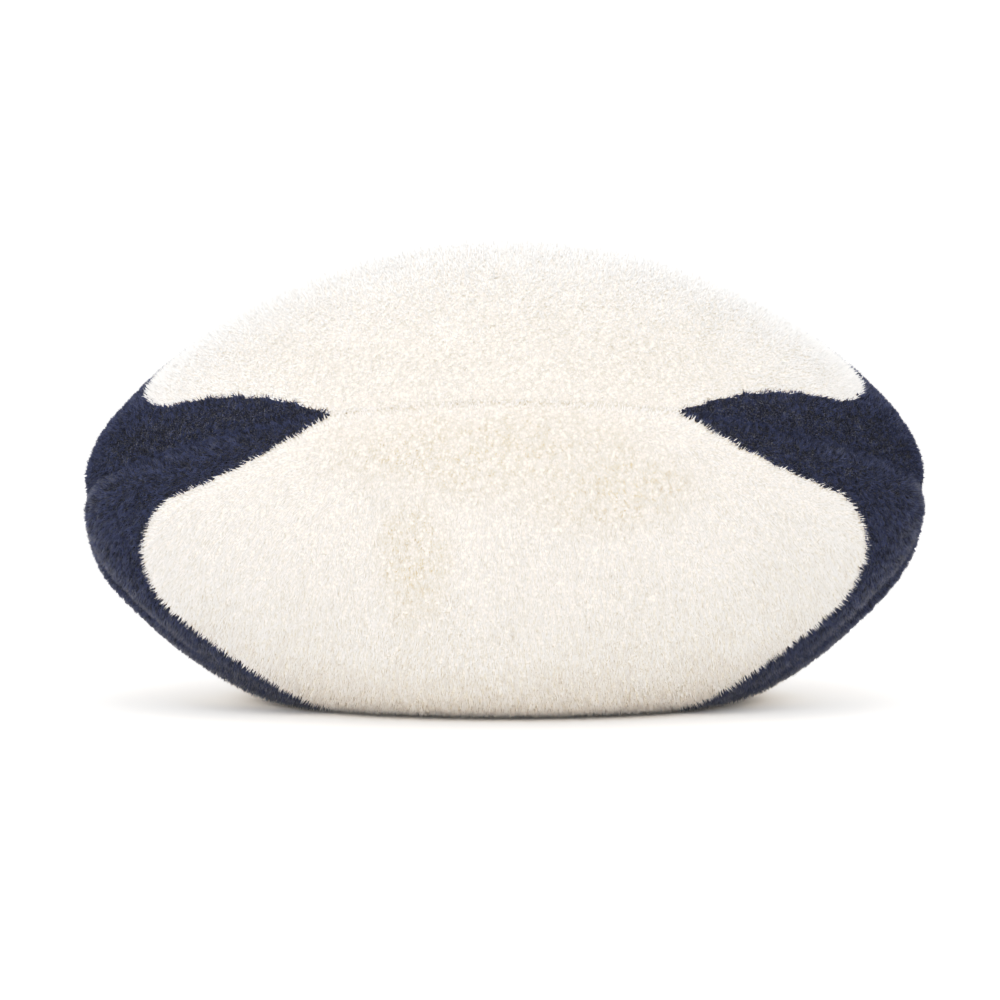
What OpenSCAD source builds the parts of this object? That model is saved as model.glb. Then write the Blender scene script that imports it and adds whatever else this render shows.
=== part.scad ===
// Plush rugby ball: four gores of pile fabric, each a cream centre panel with a navy panel at
// either end, sewn inside out, turned, stuffed, weighted with a pellet pouch and closed by hand.
// The long axis lies along X. The origin is the middle of the flat that the ball rests on.

/* [Ball] */
// Length of the ball from nose to nose
ball_length = 290; // [240:1:350]
// Largest diameter of the ball
ball_diameter = 180; // [150:1:218]
// Radius of the rounded noses
nose_radius = 46; // [36:1:58]
// Height of the long axis above the surface that the ball rests on
axis_height = 69; // [56:1:74]
// Turn of the gores about the long axis, which leans the top panel to the front
gore_roll = 18.5; // [0:0.5:30]

/* [Pile fabric] */
// Whole thickness of the fabric, from the back of the knit to the tips of the pile
plush_t = 4; // [2.5:0.1:6]
// Thickness of the knitted backing, which is all that is left in a turned seam
backing_t = 1; // [0.5:0.1:1.5]
// Depth of the seam allowance that is turned to the inside
allowance = 6; // [3:0.5:8]

/* [Cream panels] */
// Distance from the middle of the ball to the rounded end of a cream panel
cream_reach = 121; // [104:0.5:130]
// Distance from the middle of the ball to the points where the navy ends on a long seam
navy_tip = 54; // [45:1:70]
// Radius of the rounded ends of a cream panel
cream_end_r = 27; // [12:1:30]

/* [Stitches] */
// Thickness of the sewing thread
thread_d = 0.7; // [0.4:0.1:1]
// Distance from one machine stitch to the next
stitch_pitch = 5; // [3:0.5:8]
// Distance of the stitch line from the fold of the seam
stitch_inset = 1.5; // [0.8:0.1:2.5]
// Length of the opening that is left for turning and stuffing
opening_length = 72; // [40:1:90]
// Distance from one hand stitch to the next across that opening
ladder_pitch = 6; // [4:0.5:9]

/* [Pellet pouch] */
// Radius of the filled part of the pouch
pouch_r = 36; // [24:1:44]
// Half of the thickness of the filled pouch
pouch_half = 12; // [8:0.5:15]
// Thickness of the pouch cloth
pouch_cloth = 0.8; // [0.4:0.1:1.2]
// Width of the sewn rim around the pouch
pouch_rim = 6; // [4:0.5:9]
// Gap between the seam allowances of the base and the pouch
pouch_lift = 1.5; // [1:0.5:5]
// Diameter of one plastic pellet
pellet_d = 6; // [4:0.5:8]
// Gap between a pellet and its neighbours
pellet_gap = 0.4; // [0.2:0.1:1]

/* [Hidden] */
$fn = 72;
half_l = ball_length / 2;
max_r = ball_diameter / 2;

SIDES = ["top", "front", "bottom", "rear"];
ENDS = ["left", "right"];

// The outline is a large arc between two small nose arcs that it is tangent to.
flank_drop = (pow(half_l - nose_radius, 2) - pow(max_r - nose_radius, 2))
    / (2 * (max_r - nose_radius));
flank_r = max_r + flank_drop;
nose_angle = atan2(flank_drop, half_l - nose_radius);
nose_arc = nose_radius * nose_angle * PI / 180;
flank_arc = flank_r * (90 - nose_angle) * PI / 180;

seam_angle = 45;
// Half width of a gore at its widest, seen square on, with a little to spare for cuts
gore_half = max_r * sin(seam_angle) + 1;
far = ball_length + ball_diameter;

// The straight edge of a cream panel runs from the tip on the seam, tangent to the round end.
end_centre = cream_reach - cream_end_r;
tip_v = outline_r(navy_tip, 0) * sin(seam_angle);
edge_angle = atan2(tip_v, end_centre - navy_tip)
    - asin(cream_end_r / norm([end_centre - navy_tip, tip_v]));
end_steps = 12;

// The gore whose first edge holds the opening for stuffing, and the pouch's place above the base
opening_gore = 2;
rim_z = plush_t + allowance + pouch_lift + pouch_half;
thread_r = thread_d / 2;
stitch_length = 2 * backing_t + 2 * thread_d;

// Radius of the outline at a distance x along the axis, at a depth under the pile tips
function outline_r(x, depth) =
    let (nose_x = half_l - nose_radius, a = abs(x))
    a < nose_x + (nose_radius - depth) * cos(nose_angle)
        ? sqrt(pow(flank_r - depth, 2) - a * a) - flank_drop
        : sqrt(max(0, pow(nose_radius - depth, 2) - pow(a - nose_x, 2)));

// Point [x, radius] at a distance along the outline from its middle, at a depth
function outline_at(s, depth) =
    let (a = abs(s), way = s < 0 ? -1 : 1)
    a < flank_arc
        ? let (t = a / flank_r * 180 / PI)
            [way * (flank_r - depth) * sin(t), (flank_r - depth) * cos(t) - flank_drop]
        : let (t = nose_angle * (1 - (a - flank_arc) / nose_arc))
            [way * (half_l - nose_radius + (nose_radius - depth) * cos(t)),
             (nose_radius - depth) * sin(t)];

function gore_turn(i) = gore_roll + 90 * i;

// Height of a point along its gore's own normal, kept above the flat of the base
function above_base(i, v, h, depth) =
    let (a = gore_turn(i), floor_z = depth - axis_height, z = v * sin(a) + h * cos(a))
    z < floor_z ? (floor_z - v * sin(a)) / cos(a) : h;

// Half of the outline, as the profile that is revolved
module outline_profile(depth) {
    tangent_x = half_l - nose_radius + (nose_radius - depth) * cos(nose_angle);
    intersection() {
        translate([-flank_drop, 0]) circle(flank_r - depth, $fn = 360);
        translate([0, -tangent_x]) square([max_r + 1, 2 * tangent_x]);
    }
    for (way = [-1, 1])
        intersection() {
            translate([0, way * (half_l - nose_radius)]) circle(nose_radius - depth, $fn = 120);
            translate([0, way < 0 ? -half_l : 0]) square([max_r, half_l]);
        }
}

// The ball's whole volume at a depth under the pile tips, flat where it rests
module ball_volume(depth) {
    difference() {
        translate([0, 0, axis_height])
            rotate([0, 90, 0]) rotate_extrude($fn = 180) outline_profile(depth);
        translate([-far / 2, -far / 2, depth - far]) cube(far);
    }
}

module in_gore(i) {
    translate([0, 0, axis_height]) rotate([gore_turn(i), 0, 0]) children();
}

// The space between two long seams, drawn in by an inset on both sides
module gore_wedge(i, inset) {
    in_gore(i)
        translate([-far / 2, 0, inset / sin(seam_angle)])
            rotate([90, 0, 90])
                linear_extrude(far) polygon([[0, 0], [max_r + 5, max_r + 5], [-max_r - 5, max_r + 5]]);
}

// Outline of a cream panel seen square on, grown by a margin
module cream_outline(grow) {
    edge_r = cream_end_r + grow;
    touch = [end_centre + edge_r * sin(edge_angle), edge_r * cos(edge_angle)];
    corner_x = touch[0] - (gore_half - touch[1]) / tan(edge_angle);
    round_end = [for (k = [0 : end_steps])
        let (t = (90 - edge_angle) * (1 - 2 * k / end_steps))
        [end_centre + edge_r * cos(t), edge_r * sin(t)]];
    polygon(concat(
        [[corner_x, gore_half]], round_end, [[corner_x, -gore_half]],
        [[-corner_x, -gore_half]], [for (p = round_end) [-p[0], -p[1]]], [[-corner_x, gore_half]]
    ));
}

module cream_block(i, grow) {
    in_gore(i) linear_extrude(max_r + 5) cream_outline(grow);
}

// One end of a gore, beyond the cream panel on the left (0) or the right (1)
module end_block(i, end, grow) {
    difference() {
        in_gore(i)
            translate([end == 0 ? -far / 2 : 0, -max_r - 5, 0]) cube([far / 2, 2 * max_r + 10, max_r + 5]);
        cream_block(i, grow);
    }
}

// Cream centre panel of a gore, with its turned seam allowances
module cream_panel(i) {
    color("#F7F4EE")
        difference() {
            intersection() {
                ball_volume(0);
                gore_wedge(i, 0);
                cream_block(i, 0);
            }
            intersection() {
                ball_volume(plush_t);
                gore_wedge(i, backing_t);
                cream_block(i, -backing_t);
            }
            ball_volume(plush_t + allowance);
        }
}

// Navy end panel of a gore, with its turned seam allowances
module navy_panel(i, end) {
    color("#2D325A")
        difference() {
            intersection() {
                ball_volume(0);
                gore_wedge(i, 0);
                end_block(i, end, 0);
            }
            intersection() {
                ball_volume(plush_t);
                gore_wedge(i, backing_t);
                end_block(i, end, backing_t);
            }
            ball_volume(plush_t + allowance);
        }
}

// One stitch: a short length of thread that passes through both seam allowances
module stitch(length) {
    rotate([90, 0, 0]) cylinder(length, r = thread_r, center = true, $fn = 24);
}

// Stitch on the seam between gore i and the one before it, a distance s along the outline
module seam_stitch(i, s) {
    p = outline_at(s, plush_t + stitch_inset);
    a = gore_turn(i) - seam_angle;
    h = cos(a) < 0 ? min(p[1], (axis_height - plush_t - stitch_inset) / -cos(a)) : p[1];
    translate([0, 0, axis_height]) rotate([a, 0, 0]) translate([p[0], 0, h]) stitch(stitch_length);
}

// Machine stitches down one long seam, which leave the opening free on one of them
module gore_seam_thread(i) {
    reach = flank_arc + 0.7 * nose_arc;
    count = floor(reach / stitch_pitch);
    color("#E8E4DA")
        for (k = [-count : count])
            if (i != opening_gore || abs(k * stitch_pitch) > opening_length / 2)
                seam_stitch(i, k * stitch_pitch);
}

// Hand stitches that close the opening after stuffing, with a knot at one end
module closing_stitch() {
    count = floor(opening_length / 2 / ladder_pitch - 0.5);
    color("#D8D2C4") {
        for (k = [-count : count]) seam_stitch(opening_gore, k * ladder_pitch);
        a = gore_turn(opening_gore) - seam_angle;
        knot_r = 1.5 * thread_d;
        knot_h = (axis_height - plush_t - stitch_inset) / -cos(a);
        translate([0, 0, axis_height]) rotate([a, 0, 0])
            translate([count * ladder_pitch, backing_t + knot_r, min(outline_r(count * ladder_pitch,
                plush_t + stitch_inset), knot_h)])
                sphere(knot_r, $fn = 24);
    }
}

// Stitch on the edge of a cream panel at [x, v] as seen square on, turned across that edge
module inset_stitch(i, x, v, across) {
    depth = plush_t + stitch_inset;
    r = outline_r(x, depth);
    if (abs(v) < (r - backing_t) * sin(seam_angle)) {
        h = above_base(i, v, sqrt(r * r - v * v), depth);
        in_gore(i) translate([x, v, h]) rotate([0, 0, across - 90]) stitch(stitch_length);
    }
}

// Machine stitches along the U-shaped seam between a cream panel and one navy panel
module inset_seam_thread(i, end) {
    way = end == 0 ? -1 : 1;
    round_count = floor((90 - edge_angle) * PI / 180 * cream_end_r / stitch_pitch);
    start = [end_centre + cream_end_r * sin(edge_angle), cream_end_r * cos(edge_angle)];
    edge_count = floor((start[0] - navy_tip) / cos(edge_angle) / stitch_pitch);
    color("#E8E4DA") {
        for (k = [-round_count : round_count])
            let (t = k * stitch_pitch / cream_end_r * 180 / PI)
                inset_stitch(i, way * (end_centre + cream_end_r * cos(t)), cream_end_r * sin(t),
                    way > 0 ? t : 180 - t);
        for (k = [1 : edge_count], side = [-1, 1])
            let (d = k * stitch_pitch)
                inset_stitch(i, way * (start[0] - d * cos(edge_angle)),
                    side * (start[1] + d * sin(edge_angle)), side * way * (90 - edge_angle));
    }
}

// Fibre filling: all of the inside that the seam allowances and the pouch leave
module stuffing() {
    color("#FAFAF7")
        difference() {
            ball_volume(plush_t);
            difference() {
                union() {
                    for (i = [0, 1])
                        in_gore(i) rotate([seam_angle, 0, 0])
                            cube([far, far, 2 * backing_t], center = true);
                    for (i = [0 : 3])
                        intersection() {
                            gore_wedge(i, 0);
                            difference() {
                                cream_block(i, backing_t);
                                cream_block(i, -backing_t);
                            }
                        }
                }
                ball_volume(plush_t + allowance);
            }
            pouch_volume(0);
        }
}

// Section of one half of the pouch from its middle out to the rim, drawn in by an inset
module pouch_section(inset) {
    dome_r = (pow(pouch_r, 2) + pow(pouch_half, 2)) / (2 * pouch_half);
    intersection() {
        translate([0, pouch_half - dome_r]) circle(dome_r - inset, $fn = 180);
        square([pouch_r, pouch_half]);
    }
    if (inset == 0) square([pouch_r + pouch_rim, pouch_cloth]);
}

// Both halves of the pouch as one closed volume
module pouch_volume(inset) {
    for (side = [0, 1])
        translate([0, 0, rim_z]) mirror([0, 0, side]) rotate_extrude() pouch_section(inset);
}

// One cloth of the pouch: a shallow dish with a flat rim
module pouch_cloth_piece(side) {
    translate([0, 0, rim_z]) mirror([0, 0, side])
        rotate_extrude()
            difference() {
                pouch_section(0);
                pouch_section(pouch_cloth);
            }
}

module pouch_lower() {
    color("#D9D6CE") pouch_cloth_piece(1);
}

module pouch_upper() {
    color("#D9D6CE") pouch_cloth_piece(0);
}

// Stitches around the pouch's rim
module pouch_thread() {
    ring_r = pouch_r + pouch_rim / 2;
    count = floor(2 * PI * ring_r / stitch_pitch);
    color("#FFFFFF")
        for (k = [0 : count - 1])
            rotate([0, 0, k * 360 / count]) translate([ring_r, 0, rim_z])
                cylinder(2 * pouch_cloth + 2 * thread_d, r = thread_r, center = true, $fn = 24);
}

// Plastic pellets in layers on a square grid, wherever a whole pellet fits inside the cloth
module pellets() {
    step = pellet_d + pellet_gap;
    dome_r = (pow(pouch_r, 2) + pow(pouch_half, 2)) / (2 * pouch_half);
    inner_r = dome_r - pouch_cloth - pellet_d / 2 - pellet_gap;
    layers = floor(pouch_half / step);
    rows = floor(pouch_r / step);
    color("#C9CDD2")
        for (k = [-layers : layers], m = [-rows : rows], n = [-rows : rows])
            if (norm([m * step, n * step, abs(k * step) + dome_r - pouch_half]) < inner_r)
                translate([m * step, n * step, rim_z + k * step]) sphere(d = pellet_d, $fn = 24);
}

for (i = [0 : 3]) {
    cream_panel(i);
    gore_seam_thread(i);
    for (e = [0, 1]) {
        navy_panel(i, e);
        inset_seam_thread(i, e);
    }
}
closing_stitch();
stuffing();
pouch_lower();
pouch_upper();
pouch_thread();
pellets();
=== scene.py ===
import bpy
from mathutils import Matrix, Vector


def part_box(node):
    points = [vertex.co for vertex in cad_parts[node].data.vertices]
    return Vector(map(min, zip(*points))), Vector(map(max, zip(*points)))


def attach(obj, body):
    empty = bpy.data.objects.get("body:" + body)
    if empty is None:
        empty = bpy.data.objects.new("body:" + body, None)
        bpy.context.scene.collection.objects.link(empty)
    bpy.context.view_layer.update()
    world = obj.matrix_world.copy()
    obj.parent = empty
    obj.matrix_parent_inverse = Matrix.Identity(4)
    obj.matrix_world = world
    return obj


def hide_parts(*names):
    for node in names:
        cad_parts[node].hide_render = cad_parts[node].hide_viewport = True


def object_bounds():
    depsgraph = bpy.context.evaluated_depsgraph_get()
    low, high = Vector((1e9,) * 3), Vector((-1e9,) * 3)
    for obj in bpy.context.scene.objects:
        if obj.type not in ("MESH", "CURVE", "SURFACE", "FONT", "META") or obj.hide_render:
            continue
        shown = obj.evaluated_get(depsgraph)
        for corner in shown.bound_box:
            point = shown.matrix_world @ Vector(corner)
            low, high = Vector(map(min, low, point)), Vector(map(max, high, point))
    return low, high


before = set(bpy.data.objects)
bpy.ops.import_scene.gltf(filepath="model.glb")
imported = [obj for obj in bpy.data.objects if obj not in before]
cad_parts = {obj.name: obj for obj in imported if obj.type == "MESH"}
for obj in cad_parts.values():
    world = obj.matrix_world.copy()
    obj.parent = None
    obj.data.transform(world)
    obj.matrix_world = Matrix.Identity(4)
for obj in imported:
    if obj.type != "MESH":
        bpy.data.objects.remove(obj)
cadBox = [list(corner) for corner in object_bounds()]

import math

import bmesh
import bpy
from mathutils import Matrix, Vector, kdtree, noise

# Camera, lights and floor

shot = {
    "distance": 1.9,        # camera to the middle of the ball
    "elevation": 5.0,       # degrees above level
    "width": 0.342,         # how much of the scene the picture spans, at the ball
    "aimX": -0.0015,
    "aimZ": 0.069,
}
studio = {
    "sky": 1.24,
    "skyColour": (1.0, 0.995, 0.985),
    "keyPlace": (0.08, -0.15, 1.5),
    "keyPower": 19.0,
    "keySize": 2.2,
    "fillPlace": (-0.4, -1.95, 0.12),
    "fillPower": 35.0,
    "fillSize": 1.4,
    "tone": [(0.12, 0.12), (0.60, 0.73), (1.0, 0.95)],
    "white": (1.6, 1.25),
    "floor": (0.96, 0.95, 0.94),
    "floorGrain": 3.0,
    "floorSize": 12.0,
}


def addObject(name, data):
    thing = bpy.data.objects.new(name, data)
    bpy.context.scene.collection.objects.link(thing)
    return thing


def meshOf(bm, name):
    mesh = bpy.data.meshes.new(name)
    bm.to_mesh(mesh)
    bm.free()
    return mesh


def shadeSmooth(bm):
    for face in bm.faces:
        face.smooth = True


def toned(colour, share=1.0):
    return (*(c * share for c in colour), 1.0)


def makeCamera():
    data = bpy.data.cameras.new("camera")
    data.sensor_width = 36.0
    data.lens = data.sensor_width * shot["distance"] / shot["width"]
    data.clip_start = 0.05
    data.clip_end = 60.0
    camera = addObject("camera", data)
    tilt = math.radians(shot["elevation"])
    back = Vector((0, -math.cos(tilt), math.sin(tilt)))
    aim = Vector((shot["aimX"], 0, shot["aimZ"]))
    camera.location = aim + back * shot["distance"]
    camera.rotation_mode = "QUATERNION"
    camera.rotation_quaternion = (-back).to_track_quat("-Z", "Y")
    bpy.context.scene.camera = camera


def makeLamp(name):
    data = bpy.data.lights.new(name, "AREA")
    data.shape = "SQUARE"
    data.size = studio[name + "Size"]
    data.energy = studio[name + "Power"]
    lamp = addObject(name, data)
    place = Vector(studio[name + "Place"])
    lamp.location = place
    lamp.rotation_mode = "QUATERNION"
    lamp.rotation_quaternion = (Vector((0, 0, shot["aimZ"])) - place).to_track_quat("-Z", "Y")


class Wire:
    # One output of a node. Sums written with it add Math nodes; add() makes any other node.
    def __init__(self, tree, socket=None):
        self.tree = tree
        self.socket = socket

    def add(self, kind, settings=None, sockets=None, output=0):
        node = self.tree.nodes.new(kind)
        for name, value in (settings or {}).items():
            if name == "stops":
                ramp = node.color_ramp.elements
                while len(ramp) < len(value):
                    ramp.new(0.5)
                for element, (place, colour) in zip(ramp, value):
                    element.position = place
                    element.color = colour
            else:
                setattr(node, name, value)
        for name, value in (sockets or {}).items():
            if isinstance(value, Wire):
                self.tree.links.new(value.socket, node.inputs[name])
            else:
                node.inputs[name].default_value = value
        return Wire(self.tree, node.outputs[output]) if node.outputs else None

    def math(self, operation, first, second=0.0, third=0.0):
        return self.add("ShaderNodeMath", {"operation": operation}, {0: first, 1: second, 2: third})

    def __add__(self, other):
        return self.math("ADD", self, other)

    __radd__ = __add__

    def __sub__(self, other):
        return self.math("SUBTRACT", self, other)

    def __rsub__(self, other):
        return self.math("SUBTRACT", other, self)

    def __mul__(self, other):
        return self.math("MULTIPLY", self, other)

    __rmul__ = __mul__

    def __truediv__(self, other):
        return self.math("DIVIDE", self, other)

    def __pow__(self, other):
        return self.math("POWER", self, other)

    def vector(self, operation, *values):
        sockets = dict(enumerate(values))
        return self.add("ShaderNodeVectorMath", {"operation": operation}, sockets)

    def along(self, other):
        # the sum of two vectors
        return self.vector("ADD", self, other)

    def scaled(self, amount):
        node = {"operation": "SCALE"}
        return self.add("ShaderNodeVectorMath", node, {0: self, "Scale": amount})

    def blend(self, factor, first, second):
        node = {"data_type": "RGBA", "clamp_factor": True}
        return self.add("ShaderNodeMix", node, {0: factor, 6: first, 7: second}, 2)

    def step(self, low, high):
        # 0 below low, 1 above high, smooth between
        node = {"interpolation_type": "SMOOTHSTEP"}
        return self.add("ShaderNodeMapRange", node, {"Value": self, "From Min": low, "From Max": high})

    def part(self, axis):
        return self.add("ShaderNodeSeparateXYZ", None, {0: self}, axis)

    def noise(self, scale, detail, output=0):
        # noise read at the place that this vector gives
        sockets = {"Vector": self, "Scale": scale, "Detail": detail}
        return self.add("ShaderNodeTexNoise", None, sockets, output)


def startMaterial(name):
    # (the material, an unconnected wire in it, the place on the piece)
    material = bpy.data.materials.new(name)
    material.use_nodes = True
    material.node_tree.nodes.clear()
    wire = Wire(material.node_tree)
    return material, wire, wire.add("ShaderNodeTexCoord", output="Object")


def endMaterial(wire, colour, roughness, settings=None):
    sockets = {"Base Color": colour, "Roughness": roughness, **(settings or {})}
    shader = wire.add("ShaderNodeBsdfPrincipled", None, sockets)
    wire.add("ShaderNodeOutputMaterial", None, {"Surface": shader})


def bumpFrom(wire, height, strength, distance):
    return wire.add("ShaderNodeBump", None, {"Height": height, "Strength": strength, "Distance": distance})


def setTone():
    # a soft shoulder, so that pale cloth keeps its colour while the paper goes white;
    # the fourth curve is the one for all three channels together
    view = bpy.context.scene.view_settings
    view.view_transform = "Standard"
    view.use_curve_mapping = True
    tone = view.curve_mapping
    tone.clip_max_x, tone.clip_max_y = studio["white"]
    curve = tone.curves[3]
    curve.points[1].location = studio["white"]
    for x, y in studio["tone"]:
        curve.points.new(x, y)
    tone.update()


def makeStage():
    world = bpy.data.worlds.new("studio")
    world.use_nodes = True
    back = world.node_tree.nodes["Background"]
    back.inputs["Color"].default_value = (*studio["skyColour"], 1)
    back.inputs["Strength"].default_value = studio["sky"]
    bpy.context.scene.world = world
    makeLamp("key")
    makeLamp("fill")
    bm = bmesh.new()
    bmesh.ops.create_grid(bm, x_segments=1, y_segments=1, size=studio["floorSize"])
    floor = addObject("floor", meshOf(bm, "floor"))
    material, wire, place = startMaterial("floorPaper")
    grain = place.noise(studio["floorGrain"], 2.0)
    colour = wire.blend(grain, toned(studio["floor"]), toned(studio["floor"], 1.01))
    endMaterial(wire, colour, 0.9)
    floor.data.materials.append(material)
    setTone()


makeCamera()
makeStage()
print("camera and studio ready")

# The cover: four gores, each a cream panel set into two navy ends

lowCorner, highCorner = Vector(cadBox[0]), Vector(cadBox[1])
ball = {
    "halfLength": (highCorner.x - lowCorner.x) / 2,
    "radius": (highCorner.y - lowCorner.y) / 2,
    "noseRadius": 0.046,
    "goreTurn": 18.5,       # degrees that the top gore leans to the front
    "creamReach": 0.1210,   # middle to the round end of a cream panel
    "creamEndRadius": 0.027,
    "creamEndCuts": 9,      # straight cuts that make up a round end
    "navyTip": 0.054,       # middle to the point where two navy ends meet the cream
}
ball["axisHeight"] = highCorner.z - ball["radius"]
cover = {
    "depth": 0.0020,        # the knitted backing lies this far under the pile's tips
    "around": 104,          # faces round the ball
    "flankSteps": 27,
    "noseSteps": 7,
    "base": 0.0018,         # height of the backing over the floor
    "baseRound": 0.003,
    "baseBand": 0.004,      # cloth this near the base is held down by the weight
    "valleyDepth": 0.0006,  # along a seam between two cream panels
    "foldDepth": 0.0024,    # and between two navy ones
    "valleyWidth": 0.0045,
    "valleyLow": 0.012,     # valleys and lean begin at this height
    "valleyRise": 0.03,     # and are whole this much higher
    "lean": 0.0085,         # the left nose sits a little lower
    "thickness": 0.0010,
    "allowance": 0.0060,
    "allowanceGap": 0.0008,
    "edgeBand": 0.0045,     # how far from a seam its pile splays
}
stuffed = {
    "pressure": 4.0,
    "frames": 20,
    "quality": 5,
    "mass": 0.3,
    "stretch": 15,
    "bend": 0.5,
    "cap": 0.004,           # most that the stuffing may push the cloth out
}
goreNames = ["top", "front", "bottom", "rear"]
patchNames = ["cream_panel_{}", "navy_panel_{}_left", "navy_panel_{}_right"]


def goreTurn(gore):
    return math.radians(ball["goreTurn"] + 90 * gore)


def arcCentres():
    # how far along the axis a nose's arc is centred, and how far under it the flank's
    noseX = ball["halfLength"] - ball["noseRadius"]
    slack = ball["radius"] - ball["noseRadius"]
    return noseX, (noseX ** 2 - slack ** 2) / (2 * slack)


def outlineAt(x):
    noseX, drop = arcCentres()
    return math.sqrt((ball["radius"] + drop) ** 2 - x ** 2) - drop


def spinProfile(bm):
    noseX, drop = arcCentres()
    flank = math.atan2(noseX, drop)
    top = bm.verts.new((0, 0, ball["radius"] - cover["depth"]))
    for side in (1, -1):
        arc = bmesh.ops.spin(bm, geom=[top], cent=(0, 0, -drop), axis=(0, 1, 0), angle=side * flank,
                             steps=cover["flankSteps"])
        last = [v for v in arc["geom_last"] if isinstance(v, bmesh.types.BMVert)]
        bmesh.ops.spin(bm, geom=last, cent=(side * noseX, 0, 0), axis=(0, 1, 0),
                       angle=side * (math.pi / 2 - flank), steps=cover["noseSteps"])
    bmesh.ops.remove_doubles(bm, verts=bm.verts[:], dist=1e-6)


def markGores(bm, gores, patches):
    for face in bm.faces:
        centre = face.calc_center_median()
        angle = math.degrees(math.atan2(-centre.y, centre.z))
        face[gores] = int(((angle - ball["goreTurn"] + 45) % 360) // 90)
        face[patches] = 0


def cutCreamEnd(bm, gores, patches, gore, side):
    # straight edges from the navy tips, tangent to a round end, cut as a fan of planes
    turn = Matrix.Rotation(goreTurn(gore), 3, "X")
    end = ball["creamReach"] - ball["creamEndRadius"]
    halfWidth = outlineAt(ball["navyTip"]) * math.sin(math.radians(45))
    run = end - ball["navyTip"]
    reach = math.hypot(run, halfWidth)
    steepest = math.pi / 2 - (math.atan2(halfWidth, run) - math.asin(ball["creamEndRadius"] / reach))
    nearest = ball["navyTip"] * 0.8
    keep = []
    for face in bm.faces:
        if face[gores] == gore and side * face.calc_center_median().x > nearest:
            keep.append(face)
    cuts = ball["creamEndCuts"]
    for i in range(cuts):
        slant = steepest * (2 * i / (cuts - 1) - 1)
        normal = turn @ Vector((side * math.cos(slant), math.sin(slant), 0))
        point = turn @ Vector((side * end, 0, 0)) + normal * ball["creamEndRadius"]
        parts = set(keep)
        for face in keep:
            parts.update(face.edges)
            parts.update(face.verts)
        cut = bmesh.ops.bisect_plane(bm, geom=list(parts), dist=0.0003, plane_co=point, plane_no=normal)
        keep = []
        for face in [g for g in cut["geom"] if isinstance(g, bmesh.types.BMFace)]:
            if (face.calc_center_median() - point).dot(normal) > 0:
                face[patches] = 1 if side < 0 else 2
            else:
                keep.append(face)


def restOnBase(z):
    # a flat base whose edge turns up in a small soft round
    over = z - cover["base"]
    soft = cover["baseRound"]
    return cover["base"] + 0.5 * (over + math.sqrt(over * over + soft * soft))


def buildCover():
    bm = bmesh.new()
    for layer in ("gore", "patch"):
        bm.faces.layers.int.new(layer)
    gores = bm.faces.layers.int["gore"]
    patches = bm.faces.layers.int["patch"]
    spinProfile(bm)
    start = goreTurn(0) - math.radians(45)
    bmesh.ops.rotate(bm, verts=bm.verts[:], cent=(0, 0, 0), matrix=Matrix.Rotation(start, 3, "X"))
    bmesh.ops.spin(bm, geom=bm.verts[:] + bm.edges[:], cent=(0, 0, 0), axis=(1, 0, 0),
                   angle=2 * math.pi, steps=cover["around"], use_merge=True)
    bmesh.ops.remove_doubles(bm, verts=bm.verts[:], dist=1e-5)
    bmesh.ops.recalc_face_normals(bm, faces=bm.faces[:])
    markGores(bm, gores, patches)
    for gore in range(4):
        for side in (-1, 1):
            cutCreamEnd(bm, gores, patches, gore, side)
    bmesh.ops.translate(bm, verts=bm.verts[:], vec=(0, 0, ball["axisHeight"]))
    for vert in bm.verts:
        vert.co.z = restOnBase(vert.co.z)
    return addObject("cover", meshOf(bm, "cover"))


def longSeams(mesh):
    # the vertices on the seams between gores
    gores = mesh.attributes["gore"].data
    sides = {}
    for poly in mesh.polygons:
        for key in poly.edge_keys:
            sides.setdefault(key, set()).add(gores[poly.index].value)
    long = set()
    for key, pair in sides.items():
        if len(pair) == 2:
            long.update(key)
    return long


def inflate(body):
    # the stuffing presses the cloth out between its long seams
    mesh = body.data
    held = body.vertex_groups.new(name="held")
    held.add(sorted(longSeams(mesh)), 1.0, "REPLACE")
    flat = [v.index for v in mesh.vertices if v.co.z < cover["base"] + cover["baseBand"]]
    held.add(flat, 1.0, "REPLACE")
    settings = body.modifiers.new("Cloth", "CLOTH").settings
    settings.quality = stuffed["quality"]
    settings.mass = stuffed["mass"]
    settings.tension_stiffness = stuffed["stretch"]
    settings.compression_stiffness = stuffed["stretch"]
    settings.bending_stiffness = stuffed["bend"]
    settings.use_pressure = True
    settings.uniform_pressure_force = stuffed["pressure"]
    settings.vertex_group_mass = "held"
    settings.effector_weights.gravity = 0
    scene = bpy.context.scene
    for step in range(1, stuffed["frames"] + 1):
        scene.frame_set(step)
    graph = bpy.context.evaluated_depsgraph_get()
    pushed = body.evaluated_get(graph).to_mesh()
    moves = [0.0]
    for vert, target in zip(mesh.vertices, pushed.vertices):
        move = target.co - vert.co
        moves.append(move.length)
        if move.length > stuffed["cap"]:
            move *= stuffed["cap"] / move.length
        vert.co = vert.co + move
    print("cloth moved up to %.1f mm" % (max(moves) * 1000))
    body.evaluated_get(graph).to_mesh_clear()
    body.modifiers.clear()
    scene.frame_set(1)


def bake(body):
    # applies the piece's modifiers
    graph = bpy.context.evaluated_depsgraph_get()
    graph.update()
    done = bpy.data.meshes.new_from_object(body.evaluated_get(graph), preserve_all_data_layers=True,
                                           depsgraph=graph)
    body.modifiers.clear()
    body.data = done


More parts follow.
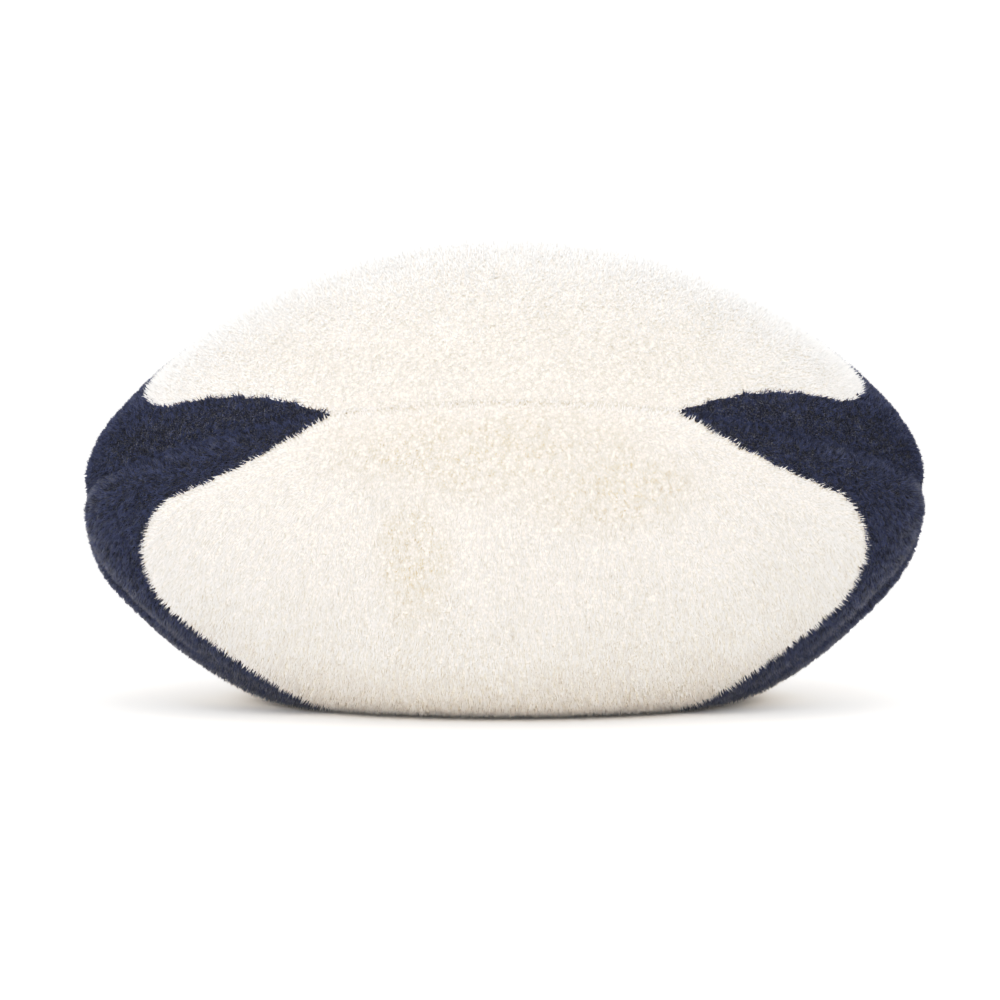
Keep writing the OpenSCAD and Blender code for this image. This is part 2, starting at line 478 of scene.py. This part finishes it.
def settle(body):
    # seam valleys, the slight lean of the whole ball, and one subdivision
    smooth = body.modifiers.new("smooth", "SUBSURF")
    smooth.levels = smooth.render_levels = 1
    bake(body)
    mesh = body.data
    long = longSeams(mesh)
    tree = kdtree.KDTree(len(long))
    for index in long:
        tree.insert(mesh.vertices[index].co, index)
    tree.balance()
    normals = [v.normal.copy() for v in mesh.vertices]
    for vert, normal in zip(mesh.vertices, normals):
        gap = tree.find(vert.co)[2]
        above = min(max((vert.co.z - cover["valleyLow"]) / cover["valleyRise"], 0), 1)
        navyShare = min(max(abs(vert.co.x) / ball["navyTip"] - 1, 0), 1)
        deep = cover["valleyDepth"] + (cover["foldDepth"] - cover["valleyDepth"]) * navyShare
        sink = deep * math.exp(-(gap / cover["valleyWidth"]) ** 2) * above
        vert.co = vert.co - normal * sink
        vert.co.z += cover["lean"] * vert.co.x * above
        vert.co.z = max(vert.co.z, cover["base"])
    mesh.update()


body = buildCover()
inflate(body)
core = body.data.copy()
settle(body)
print("cover shaped:", len(body.data.polygons), "faces")

# Panels and their pile

cream = {
    "cut": (0.150, 0.275),  # the flat panel, and its area, both with the seam allowances
    "cutArea": 0.0295,
    "perSquareMetre": 1.85e6,
    "length": 0.0024,
    "width": 0.00056,
    "flatness": 0.7,
    "stand": 0.95,
    "lean": 0.65,
    "stray": 0.2,
    "clump": 0.4,
    "clumpScale": 300.0,
    "sway": 0.3,
    "softness": 0.55,
    "through": 0.8,         # how much of the light the fibres pass on
    "shine": 0.15,
    "tuftScale": 900.0,
    "tintShare": 0.35,
    "sheen": 0.1,
    "nap": (0.0, -1.0),     # along the ball towards its middle, and across the gore
    "splay": 0.45,
    # root and knit: darker and warmer than the tip, painted shade deep in the pile
    "root": (0.90, 0.79, 0.65),
    "tip": (0.945, 0.868, 0.775),
    "shade": (0.92, 0.82, 0.71),
    "knit": (0.90, 0.80, 0.67),
}
navy = {
    "cut": (0.132, 0.128),
    "cutArea": 0.0058,
    "perSquareMetre": 5.0e6,
    "length": 0.0026,
    "width": 0.00056,
    "flatness": 0.7,
    "stand": 1.0,
    "lean": 0.9,
    "stray": 0.35,
    "clump": 1.3,
    "clumpScale": 420.0,
    "sway": 0.6,
    "softness": 0.15,
    "through": 0.0,
    "shine": 0.1,
    "tuftScale": 700.0,
    "tintShare": 0.85,
    "sheen": 0.2,
    "nap": (0.8, -0.8),
    "splay": 0.4,
    # root and knit: far darker than the tip, painted shade deep in the pile
    "root": (0.004, 0.005, 0.012),
    "tip": (0.044, 0.054, 0.115),
    "shade": (0.009, 0.011, 0.027),
    "knit": (0.016, 0.018, 0.042),
}


strands = {
    "sizes": (0.7, 1.1),    # shortest and longest share of a fibre's length and width
    "swayScale": 45.0,
    "floorGap": 0.0003,
    "tintMix": (0.4, 0.6),  # each fibre's own tint, and its tuft's
    "chartMargin": 0.006,
}


def startGroup(name):
    # (a new group for a geometry modifier, the mesh that comes into it)
    tree = bpy.data.node_groups.new(name, "GeometryNodeTree")
    for way in ("INPUT", "OUTPUT"):
        tree.interface.new_socket("Mesh", in_out=way, socket_type="NodeSocketGeometry")
    return tree, Wire(tree).add("NodeGroupInput")


def applyGroup(piece, tree, result):
    result.add("NodeGroupOutput", None, {0: result})
    piece.modifiers.new("nodes", "NODES").node_group = tree
    bake(piece)


def napVector(gore, patch, plush):
    turn = goreTurn(gore)
    across = Vector((0, math.cos(turn), math.sin(turn)))
    way = 1 if goreNames[gore] != "rear" else -1
    inward = {0: 0, 1: 1, 2: -1}[patch]
    return Vector((1, 0, 0)) * plush["nap"][0] * inward + across * plush["nap"][1] * way


def cutPanel(body, gore, patch, plush):
    # one panel's outer face, with where its pile points held in two attributes
    bm = bmesh.new()
    bm.from_mesh(body.data)
    gores = bm.faces.layers.int["gore"]
    patches = bm.faces.layers.int["patch"]
    for layer in ("outward", "lay"):
        bm.verts.layers.float_vector.new(layer)
    outward = bm.verts.layers.float_vector["outward"]
    lay = bm.verts.layers.float_vector["lay"]
    for vert in bm.verts:
        vert[outward] = vert.normal
    others = [f for f in bm.faces if f[gores] != gore or f[patches] != patch]
    bmesh.ops.delete(bm, geom=others, context="FACES")
    edge = [v for v in bm.verts if v.is_boundary]
    tree = kdtree.KDTree(len(edge))
    for index, vert in enumerate(edge):
        tree.insert(vert.co, index)
    tree.balance()
    nap = napVector(gore, patch, plush)
    for vert in bm.verts:
        up = vert[outward]
        if vert.is_boundary:
            centres = [f.calc_center_median() for f in vert.link_faces]
            away = vert.co - sum(centres, Vector()) / len(centres)
            gap = 0.0
        else:
            place, index, gap = tree.find(vert.co)
            away = place - vert.co
        away = (away - up * away.dot(up)).normalized()
        combed = nap - up * nap.dot(up)
        near = math.exp(-(gap / cover["edgeBand"]))
        vert[lay] = combed * (1 - near) + away * near * plush["splay"]
    return meshOf(bm, "panel")


def randomVector(wire, low, high, seed):
    span = {0: low, 1: high, "Seed": seed}
    return wire.add("FunctionNodeRandomValue", {"data_type": "FLOAT_VECTOR"}, span)


def randomValue(wire, low, high, seed):
    span = {2: low, 3: high, "Seed": seed}
    return wire.add("FunctionNodeRandomValue", {"data_type": "FLOAT"}, span, 1)


def store(shape, kind, domain, name, value):
    node = {"data_type": kind, "domain": domain}
    sockets = {"Geometry": shape, "Name": name, "Value": value}
    return shape.add("GeometryNodeStoreNamedAttribute", node, sockets)


def growPile(piece, plush, gore, seed):
    tree, wire = startGroup("pile")
    points = wire.add("GeometryNodeDistributePointsOnFaces", None,
                      {"Mesh": wire, "Density": plush["perSquareMetre"], "Seed": seed})
    place = wire.add("GeometryNodeInputPosition")
    asVector = {"data_type": "FLOAT_VECTOR"}
    outward = wire.add("GeometryNodeInputNamedAttribute", asVector, {"Name": "outward"})
    lay = wire.add("GeometryNodeInputNamedAttribute", asVector, {"Name": "lay"})
    stray = randomVector(wire, (-1, -1, -1), (1, 1, 1), seed + 1)
    clump = place.noise(plush["clumpScale"], 1.0, "Color")
    sway = place.noise(strands["swayScale"], 1.0, "Color")
    way = outward.scaled(plush["stand"]).along(lay.scaled(plush["lean"]))
    way = way.along(stray.scaled(plush["stray"]))
    way = way.along(clump.along((-0.5, -0.5, -0.5)).scaled(2 * plush["clump"]))
    way = way.along(sway.along((-0.5, -0.5, -0.5)).scaled(2 * plush["sway"]))
    spin = randomVector(wire, (0, 0, 0), (0, 0, 6.28), seed + 2)
    first = wire.add("FunctionNodeEulerToRotation", None, {0: spin})
    facing = wire.add("FunctionNodeAlignRotationToVector", {"axis": "Z"},
                      {"Rotation": first, "Vector": way})
    size = randomValue(wire, *strands["sizes"], seed + 3)
    scale = wire.add("ShaderNodeCombineXYZ", None, {
        "X": size * plush["width"],
        "Y": size * (plush["width"] * plush["flatness"]),
        "Z": size * plush["length"]})
    strand = wire.add("GeometryNodeMeshCone", None,
                      {"Vertices": 3, "Radius Top": 0.0, "Radius Bottom": 0.5, "Depth": 1.0})
    strand = store(strand, "FLOAT", "POINT", "tip", place.part("Z"))
    pile = wire.add("GeometryNodeInstanceOnPoints", None,
                    {"Points": points, "Instance": strand, "Rotation": facing, "Scale": scale})
    alone, shared = strands["tintMix"]
    tuft = place.noise(plush["tuftScale"], 1.0)
    tint = randomValue(wire, 0.0, 1.0, seed + 4) * alone + tuft.step(0.35, 0.65) * shared
    pile = store(pile, "FLOAT", "INSTANCE", "tint", tint)
    pile = wire.add("GeometryNodeRealizeInstances", None, {"Geometry": pile})
    # held off the floor, and not bounded sideways
    lifted = wire.vector("MAXIMUM", place, (-9.0, -9.0, strands["floorGap"]))
    pile = wire.add("GeometryNodeSetPosition", None, {"Geometry": pile, "Position": lifted})
    turn = goreTurn(gore)
    low, high = boxOf(piece.data, turn)
    across = wire.add("ShaderNodeVectorMath", {"operation": "DOT_PRODUCT"},
                      {0: place, 1: (0, math.cos(turn), math.sin(turn))}, "Value")
    chart = wire.add("ShaderNodeCombineXYZ", None, {
        "X": (place.part("X") - low[0]) / (high[0] - low[0]),
        "Y": (across - low[1]) / (high[1] - low[1])})
    pile = store(pile, "FLOAT2", "CORNER", "OFBake", chart)
    pile = wire.add("GeometryNodeSetShadeSmooth", None, {"Geometry": pile, "Shade Smooth": True})
    own = wire.add("GeometryNodeInputNormal")
    soft = outward.scaled(plush["softness"]).along(own.scaled(1 - plush["softness"]))
    pile = wire.add("GeometryNodeSetMeshNormal", {"mode": "FREE", "domain": "POINT"},
                    {"Mesh": pile, "Custom Normal": wire.vector("NORMALIZE", soft)})
    applyGroup(piece, tree, pile)


def boxOf(mesh, turn):
    # the panel's outline seen along its gore, with room for the pile
    margin = strands["chartMargin"]
    xs = [v.co.x for v in mesh.vertices]
    ys = [v.co.y * math.cos(turn) + v.co.z * math.sin(turn) for v in mesh.vertices]
    return (min(xs) - margin, min(ys) - margin), (max(xs) + margin, max(ys) + margin)


def pileMaterial(name, plush, pileShade=None):
    material, wire, place = startMaterial(name)
    tip = wire.add("ShaderNodeAttribute", {"attribute_name": "tip"}, None, "Fac")
    tint = wire.add("ShaderNodeAttribute", {"attribute_name": "tint"}, None, "Fac")
    drift = place.noise(28.0, 3.0)
    tufts = place.noise(420.0, 2.0)
    share = plush["tintShare"]
    # painted shade: each fibre darkens from tip to root, as deep in the pile; tint also makes whole fibres
    # darker at random
    rise = ((tip + 0.5) * (1 - share) + tint * share).step(0.1, 0.9)
    dark = wire.blend(drift.step(0.35, 0.75) * 0.6, toned(plush["root"]), toned(plush["shade"]))
    colour = wire.blend(rise, dark, toned(plush["tip"]))
    colour = wire.blend(tufts.step(0.55, 0.8) * 0.3, colour, toned(plush["shade"]))
    # painted shade: the front panel's warm patches blend the pile's colour towards a darker beige
    if pileShade:
        paintedShade = wornPatch(place, pileShade) * tufts.step(0.2, 0.65) * pileShade["strength"]
        colour = wire.blend(paintedShade, colour, toned(pileShade["colour"]))
    endMaterial(wire, colour, 0.85, {
        "Specular IOR Level": plush["shine"],
        "Sheen Weight": plush["sheen"],
        "Sheen Roughness": 0.45,
        "Subsurface Weight": plush["through"],
        "Subsurface Radius": (0.7, 0.85, 1.0),
        "Subsurface Scale": 0.002})
    return material


partedPileShade = {
    # painted shade: warm, darker patches on the front panel that stand for the shaded depth of a parted
    # pile; x, z, half width and half height of each place
    "places": [
        (-0.010, 0.092, 0.055, 0.016),
        (0.030, 0.080, 0.030, 0.014),
        (-0.030, 0.058, 0.012, 0.022),
    ],
    "colour": (0.60, 0.45, 0.29),
    "strength": 1.0,
}


def wornPatch(place, pileShade):
    # the mask of the painted shade patches, with ragged edges
    ripple = place.noise(40.0, 3.0)
    x = place.part("X")
    z = place.part("Z")
    total = None
    for midX, midZ, wide, tall in pileShade["places"]:
        off = ((x - midX) / wide) ** 2 + ((z - midZ) / tall) ** 2 + (ripple - 0.5) * 1.6
        here = 1 - off.step(-0.1, 2.0)
        total = here if total is None else total.math("MAXIMUM", total, here)
    return total


def knitMaterial(name, plush):
    # the knitted backing under the pile: columns of small loops; its colour is kept as dark as the pile's
    # roots, painted shade of the pile's depth
    material, wire, place = startMaterial(name)
    loops = wire.add("ShaderNodeTexVoronoi", None, {"Vector": place, "Scale": 900.0}, "Distance")
    dark = toned(plush["knit"], 0.6)
    colour = wire.blend(loops.step(0.1, 0.7), toned(plush["knit"]), dark)
    colour = wire.blend(place.noise(60.0, 3.0) * 0.3, colour, dark)
    endMaterial(wire, colour, 0.9, {"Normal": bumpFrom(wire, 1 - loops, 0.6, 0.0004)})
    return material


def turnAllowance(mesh):
    # the cut edge of a panel turns in and lies against its neighbour's inside the cover
    bm = bmesh.new()
    bm.from_mesh(mesh)
    outward = bm.verts.layers.float_vector["outward"]
    lay = bm.verts.layers.float_vector["lay"]
    rim = [e for e in bm.edges if e.is_boundary]
    turned = bmesh.ops.extrude_edge_only(bm, edges=rim)
    for vert in [g for g in turned["geom"] if isinstance(g, bmesh.types.BMVert)]:
        aside = vert[lay].normalized() * cover["allowanceGap"]
        vert.co = vert.co - vert[outward] * cover["allowance"] - aside
    shadeSmooth(bm)
    bm.to_mesh(mesh)
    bm.free()


def addPiece(name, mesh):
    piece = addObject(name, mesh)
    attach(piece, "root")
    return piece


def paint(piece, material):
    piece.data.materials.clear()
    piece.data.materials.append(material)


creamPile = pileMaterial("creamPile", cream)
frontPile = pileMaterial("frontPile", cream, partedPileShade)
navyPile = pileMaterial("navyPile", navy)
creamKnit = knitMaterial("creamKnit", cream)
navyKnit = knitMaterial("navyKnit", navy)

triangles = 0
for gore in range(4):
    for patch in range(3):
        if patch > 0:
            plush, slot, tufted, knit = navy, "navy_plush", navyPile, navyKnit
        elif goreNames[gore] == "front":
            plush, slot, tufted, knit = cream, "cream_plush", frontPile, creamKnit
        else:
            plush, slot, tufted, knit = cream, "cream_plush", creamPile, creamKnit
        node = patchNames[patch].format(goreNames[gore])
        face = cutPanel(body, gore, patch, plush)
        pile = addPiece(node + "_pile", face.copy())
        growPile(pile, plush, gore, 10 * (gore * 3 + patch) + 1)
        paint(pile, tufted)
        turnAllowance(face)
        sheet = addPiece(node + "_cloth", face)
        paint(sheet, knit)
        wall = sheet.modifiers.new("cloth", "SOLIDIFY")
        wall.thickness = cover["thickness"]
        wall.offset = -1
        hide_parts(node)
        count = sum(len(p.vertices) - 2 for p in pile.data.polygons)
        triangles += count
        print(node, len(face.polygons), "faces of cloth,", count, "triangles of pile")
print("pile:", triangles, "triangles")

# Thread along the seams

stitching = {
    "pitch": 0.005,
    "length": 0.0042,
    "radius": 0.00035,
    "inset": 0.0030,        # under the cloth's face, through both allowances
    "noseGap": 0.012,       # the rows stop this far short of a nose
    "sides": 8,
    "colour": (0.80, 0.79, 0.76),
}


def threadMaterial():
    material, wire, place = startMaterial("sewingThread")
    twist = wire.add("ShaderNodeTexWave", {"bands_direction": "DIAGONAL"},
                     {"Vector": place, "Scale": 900.0, "Distortion": 1.5}, "Fac")
    colour = wire.blend(twist, toned(stitching["colour"], 0.72), toned(stitching["colour"]))
    endMaterial(wire, colour, 0.5, {"Normal": bumpFrom(wire, twist, 0.5, 0.0001)})
    return material


def sewSeam(body, name, first, second):
    # stitches along the edges where panels first and second meet, as (gore, patch) tests
    bm = bmesh.new()
    bm.from_mesh(body.data)
    gores = bm.faces.layers.int["gore"]
    patches = bm.faces.layers.int["patch"]
    for vert in bm.verts:
        vert.co = vert.co - vert.normal * stitching["inset"]
    spare = []
    lastX = ball["halfLength"] - stitching["noseGap"]
    for edge in bm.edges:
        sides = [(f[gores], f[patches]) for f in edge.link_faces]
        meets = False
        if len(sides) == 2:
            one, other = sides
            meets = first(one) and second(other) or first(other) and second(one)
        if not meets or max(abs(vert.co.x) for vert in edge.verts) > lastX:
            spare.append(edge)
    bmesh.ops.delete(bm, geom=bm.faces[:], context="FACES_ONLY")
    bmesh.ops.delete(bm, geom=spare, context="EDGES")
    piece = addPiece(name + "_stitches", meshOf(bm, name))
    tree, wire = startGroup("stitches")
    line = wire.add("GeometryNodeMeshToCurve", None, {"Mesh": wire})
    line = wire.add("GeometryNodeResampleCurve", {"mode": "LENGTH"},
                    {"Curve": line, "Length": stitching["pitch"]})
    run = wire.add("GeometryNodeInputTangent")
    facing = wire.add("FunctionNodeAlignRotationToVector", {"axis": "Z"}, {"Vector": run})
    stitch = wire.add("GeometryNodeMeshCylinder", None, {
        "Vertices": stitching["sides"],
        "Radius": stitching["radius"],
        "Depth": stitching["length"]})
    row = wire.add("GeometryNodeInstanceOnPoints", None,
                   {"Points": line, "Instance": stitch, "Rotation": facing})
    row = wire.add("GeometryNodeRealizeInstances", None, {"Geometry": row})
    applyGroup(piece, tree, row)
    paint(piece, sewn)
    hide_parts(name)


sewn = threadMaterial()
for gore in range(4):
    before = (gore - 1) % 4
    sewSeam(body, "gore_seam_thread_" + goreNames[gore],
            lambda side, g=gore: side[0] == g, lambda side, g=before: side[0] == g)
    for patch, end in ((1, "left"), (2, "right")):
        sewSeam(body, "inset_seam_thread_%s_%s" % (goreNames[gore], end),
                lambda side, g=gore: side == (g, 0), lambda side, g=gore, p=patch: side == (g, p))
for node in ("closing_stitch", "pouch_thread"):
    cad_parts[node].data.materials[0] = sewn
bpy.data.objects.remove(body)
print("seams sewn")

# What is inside: the filling, and the pellet pouch that weights the base

filling = {
    "gap": 0.0042,          # from the cloth's face to the filling
    "baseGap": 0.0008,      # and from the cloth of the flat base
    "lump": 0.0012,
    "lumpScale": 70,
    "roomAround": 0.002,    # left free beside the pouch
    "roomAbove": 0.006,
    "colour": (0.86, 0.86, 0.84),
    "fill": 0.9,
}
pouch = {
    "radius": 0.036,
    "halfHeight": 0.012,
    "rim": 0.006,
    "thickness": 0.0008,
    "cut": (0.087, 0.087),
    "cutArea": 0.0060,
    "steps": (12, 72),      # faces out from the middle, and round
    "clearance": 0.0001,    # each cloth from the seam between them
    "pucker": 0.0006,
    "puckers": 18,
    "puckerFrom": 0.55,     # puckers grow from this share of the radius
    "puckerRise": 0.3,
    "puckerFall": 0.12,
    "colour": (0.70, 0.68, 0.63),
    "pellet": 0.006,
    "pelletGap": 0.0004,
    "pelletColour": (0.60, 0.62, 0.65),
}


def fillingMaterial():
    material, wire, place = startMaterial("polyesterFibre")
    wisps = wire.add("ShaderNodeTexNoise", None,
                     {"Vector": place, "Scale": 160.0, "Detail": 6.0, "Distortion": 2.5})
    clumps = place.noise(38.0, 2.0)
    pale = wisps.step(0.3, 0.65) * (0.5 + 0.5 * clumps)
    colour = wire.blend(pale, toned(filling["colour"], 0.78), toned(filling["colour"]))
    bump = bumpFrom(wire, wisps + clumps, 0.8, 0.0012)
    endMaterial(wire, colour, 0.8, {"Normal": bump, "Sheen Weight": 0.2})
    return material


def pouchMaterial():
    material, wire, place = startMaterial("pouchCotton")
    threads = []
    for way in ("X", "Y"):
        threads.append(wire.add("ShaderNodeTexWave", {"bands_direction": way},
                                {"Vector": place, "Scale": 420.0, "Distortion": 0.4}, "Fac"))
    weave = threads[0] * threads[1]
    colour = wire.blend(weave, toned(pouch["colour"], 0.7), toned(pouch["colour"]))
    endMaterial(wire, colour, 0.9, {"Normal": bumpFrom(wire, weave, 0.5, 0.0002)})
    return material


def pelletMaterial():
    material, wire, place = startMaterial("pelletPlastic")
    cloud = place.noise(210.0, 2.0).step(0.35, 0.65)
    scuff = place.noise(900.0, 3.0)
    colour = wire.blend(cloud, toned(pouch["pelletColour"], 0.8), toned(pouch["pelletColour"]))
    endMaterial(wire, colour, 0.35 + 0.25 * scuff)
    return material


def pouchRim():
    # height of the pouch's seam over the floor
    low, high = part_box("pouch_lower")[0].z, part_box("pouch_upper")[1].z
    return (low + high) / 2


def domeRadius():
    # of the sphere that each half of the pouch is a cap of
    return (pouch["radius"] ** 2 + pouch["halfHeight"] ** 2) / (2 * pouch["halfHeight"])


def makeFilling(mesh):
    bm = bmesh.new()
    bm.from_mesh(mesh)
    lowest = cover["base"] + cover["thickness"] + filling["baseGap"]
    for vert in bm.verts:
        lump = noise.noise(vert.co * filling["lumpScale"]) * filling["lump"]
        vert.co = vert.co - vert.normal * (filling["gap"] - lump)
        vert.co.z = max(vert.co.z, lowest)
    shadeSmooth(bm)
    bm.to_mesh(mesh)
    bm.free()
    piece = addPiece("stuffing_filling", mesh)
    hollow = bmesh.new()
    bmesh.ops.create_uvsphere(hollow, u_segments=48, v_segments=24, radius=1.0)
    room = pouch["radius"] + pouch["rim"] + filling["roomAround"]
    tall = pouch["halfHeight"] + filling["roomAbove"]
    bmesh.ops.scale(hollow, verts=hollow.verts[:], vec=(room, room, tall))
    bmesh.ops.translate(hollow, verts=hollow.verts[:], vec=(0, 0, pouchRim()))
    cutter = addObject("hollow", meshOf(hollow, "hollow"))
    cut = piece.modifiers.new("hollow", "BOOLEAN")
    cut.operation = "DIFFERENCE"
    cut.object = cutter
    cut.solver = "EXACT"
    bake(piece)
    bpy.data.objects.remove(cutter)
    paint(piece, fillingMaterial())
    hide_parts("stuffing")


def makePouchCloth(node, up, material):
    # a dish of cloth with a flat rim, gathered a little where it is sewn
    bm = bmesh.new()
    radius, tall = pouch["radius"], pouch["halfHeight"]
    stepsOut, stepsRound = pouch["steps"]
    dome = domeRadius()
    sweep = math.asin(radius / dome)
    start = bm.verts.new((0, 0, up * tall))
    arc = bmesh.ops.spin(bm, geom=[start], cent=(0, 0, up * (tall - dome)), axis=(0, 1, 0),
                         angle=up * sweep, steps=stepsOut)
    last = [v for v in arc["geom_last"] if isinstance(v, bmesh.types.BMVert)]
    rim = bmesh.ops.extrude_vert_indiv(bm, verts=last)
    bmesh.ops.translate(bm, verts=rim["verts"], vec=(pouch["rim"], 0, 0))
    bmesh.ops.spin(bm, geom=bm.verts[:] + bm.edges[:], cent=(0, 0, 0), axis=(0, 0, 1),
                   angle=2 * math.pi, steps=stepsRound, use_merge=True)
    bmesh.ops.remove_doubles(bm, verts=bm.verts[:], dist=1e-6)
    for vert in bm.verts:
        out = math.hypot(vert.co.x, vert.co.y) / radius
        ripple = math.sin(pouch["puckers"] * math.atan2(vert.co.y, vert.co.x)) * pouch["pucker"]
        rise = max(0.0, min(1.0, (out - pouch["puckerFrom"]) / pouch["puckerRise"]))
        fall = max(0.0, min(1.0, (1.0 - out) / pouch["puckerFall"]))
        vert.co.z -= up * abs(ripple) * (rise * fall)
    bmesh.ops.translate(bm, verts=bm.verts[:], vec=(0, 0, pouchRim() + up * pouch["clearance"]))
    bmesh.ops.recalc_face_normals(bm, faces=bm.faces[:])
    facing = sum(f.normal.z for f in bm.faces)
    if facing * up < 0:
        bmesh.ops.reverse_faces(bm, faces=bm.faces[:])
    shadeSmooth(bm)
    piece = addPiece(node + "_cloth", meshOf(bm, node))
    paint(piece, material)
    wall = piece.modifiers.new("cloth", "SOLIDIFY")
    wall.thickness = pouch["thickness"]
    wall.offset = -1
    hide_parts(node)


def makePellets():
    # beads on a grid, kept where they lie inside both halves of the pouch
    bm = bmesh.new()
    radius, tall, size = pouch["radius"], pouch["halfHeight"], pouch["pellet"]
    step = size + pouch["pelletGap"]
    dome = domeRadius()
    inner = dome - pouch["thickness"] - size / 2 - pouch["pelletGap"]
    layers, rows = int(tall / step), int(radius / step)
    rim = pouchRim()
    for k in range(-layers, layers + 1):
        for m in range(-rows, rows + 1):
            for n in range(-rows, rows + 1):
                centre = Vector((m * step, n * step, abs(k * step) + dome - tall))
                if centre.length < inner:
                    place = Matrix.Translation((m * step, n * step, rim + k * step))
                    turn = Matrix.Rotation(m + 2 * n + 3 * k, 4, Vector((1, m + 0.5, n + 0.5)))
                    bmesh.ops.create_icosphere(bm, subdivisions=2, radius=size / 2, matrix=place @ turn)
    shadeSmooth(bm)
    piece = addPiece("pellets_beads", meshOf(bm, "pellets"))
    paint(piece, pelletMaterial())
    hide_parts("pellets")


makeFilling(core)
cotton = pouchMaterial()
makePouchCloth("pouch_lower", -1, cotton)
makePouchCloth("pouch_upper", 1, cotton)
makePellets()
print("filling, pouch and pellets in place")
